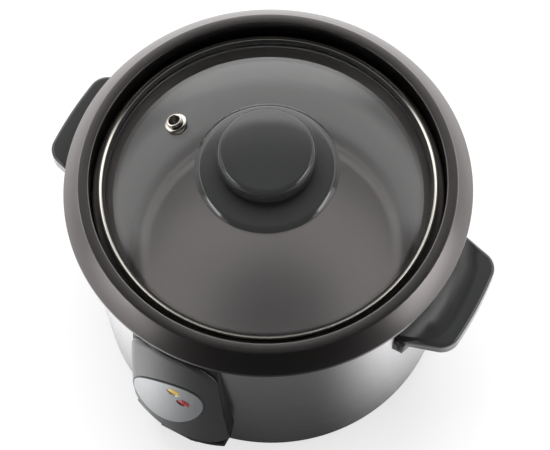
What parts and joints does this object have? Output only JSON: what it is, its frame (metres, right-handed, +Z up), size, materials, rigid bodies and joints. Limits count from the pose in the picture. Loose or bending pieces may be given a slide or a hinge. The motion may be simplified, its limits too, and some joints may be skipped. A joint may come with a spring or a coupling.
{
  "type": "rice cooker",
  "caption": "Round electric cooker with a lift-out coated bowl, domed glass lid, side handles and a front pod with a cook lever and lamps.",
  "frame": {"origin": "on the ground plane under the four feet, below the axis of the bowl", "axes": "+Z up along the bowl's axis, -Y towards the control pod, +X towards the right-hand handle"},
  "size_m": [0.278, 0.2466, 0.2038],
  "materials": {
    "steel_casing": "satin",
    "black_plastic": "fine matt",
    "grey_plastic": "satin",
    "coated_bowl": "non-stick coat with fine sparkle",
    "lid_glass": "polished",
    "lid_steel": "bright",
    "label_silver": "satin",
    "amber_lens": "clear gloss",
    "red_lens": "clear gloss",
    "rubber": "matt",
    "plated_steel": "zinc plated",
    "pan_aluminium": "drawn",
    "heater_alloy": "cast and faced",
    "ferrite": "ground",
    "ceramic": "matt",
    "brass": "nickel plated",
    "switch_plastic": "moulded",
    "board": "laminate",
    "lamp_glass": "clear",
    "silicone": "soft matt"
  },
  "bodies": {
    "body": {"base_plate": "plated_steel", "feet": "rubber", "base_screws": "plated_steel", "outer_casing": "steel_casing", "inner_pan": "pan_aluminium", "heater_plate": "heater_alloy", "heater_terminals": "plated_steel", "heater_posts": "ceramic", "heater_screws": "plated_steel", "thermal_fuse": "ceramic", "thermostat_tube": "plated_steel", "sensor_spring": "plated_steel", "magnet_spring": "plated_steel", "lever_bracket": "plated_steel", "lever_pin": "plated_steel", "switch_body": "switch_plastic", "pod_frame": "black_plastic", "pod_cover": "grey_plastic", "indicator_label": "label_silver", "lens_amber": "amber_lens", "lens_red": "red_lens", "lamp_board": "board", "lamps": "lamp_glass", "right_handle": "grey_plastic", "left_handle": "grey_plastic", "handle_screws": "plated_steel", "power_inlet": "black_plastic", "inlet_pins": "brass"},
    "bowl": {"cooking_bowl": "coated_bowl"},
    "lid": {"lid_glass": "lid_glass", "lid_steel_rim": "lid_steel", "knob_flange": "grey_plastic", "lid_knob": "grey_plastic", "knob_washer": "silicone", "knob_screw": "plated_steel", "vent_eyelet": "lid_steel"},
    "sensor": {"sensor_cap": "pan_aluminium", "ferrite_disc": "ferrite"},
    "magnet_unit": {"magnet": "ferrite", "magnet_rod": "plated_steel"},
    "lever": {"lever_arm": "plated_steel", "lever_paddle": "grey_plastic"},
    "plunger": {"switch_plunger": "switch_plastic"}
  },
  "joints": [
    {"name": "bowl_lift", "type": "slide", "parent": "body", "child": "bowl", "axis": [0, 0, 1], "range_m": [0, 0.12]},
    {"name": "lid_lift", "type": "slide", "parent": "bowl", "child": "lid", "axis": [0, 0, 1], "range_m": [0, 0.05]},
    {"name": "lever_press", "type": "hinge", "parent": "body", "child": "lever", "pos_m": [0, -0.062, 0.016], "axis": [1, 0, 0], "range_deg": [0, 5.5], "stiffness_Nm_per_rad": 0.4, "springref_deg": -3.44},
    {"name": "magnet_lift", "type": "slide", "parent": "body", "child": "magnet_unit", "axis": [0, 0, 1], "range_m": [0, 0.006], "deforming": ["magnet_spring"]},
    {"name": "switch_press", "type": "slide", "parent": "body", "child": "plunger", "axis": [0, 0, 1], "range_m": [-0.0023, 0]},
    {"name": "sensor_press", "type": "slide", "parent": "body", "child": "sensor", "axis": [0, 0, 1], "range_m": [-0.0015, 0], "stiffness_N_per_m": 1200, "springref_m": 0.0015, "deforming": ["sensor_spring"]}
  ],
  "couplings": [
    {"joint": "magnet_lift", "follows": "lever_press", "m_per_rad": 0.062},
    {"joint": "switch_press", "follows": "lever_press", "m_per_rad": -0.023}
  ]
}
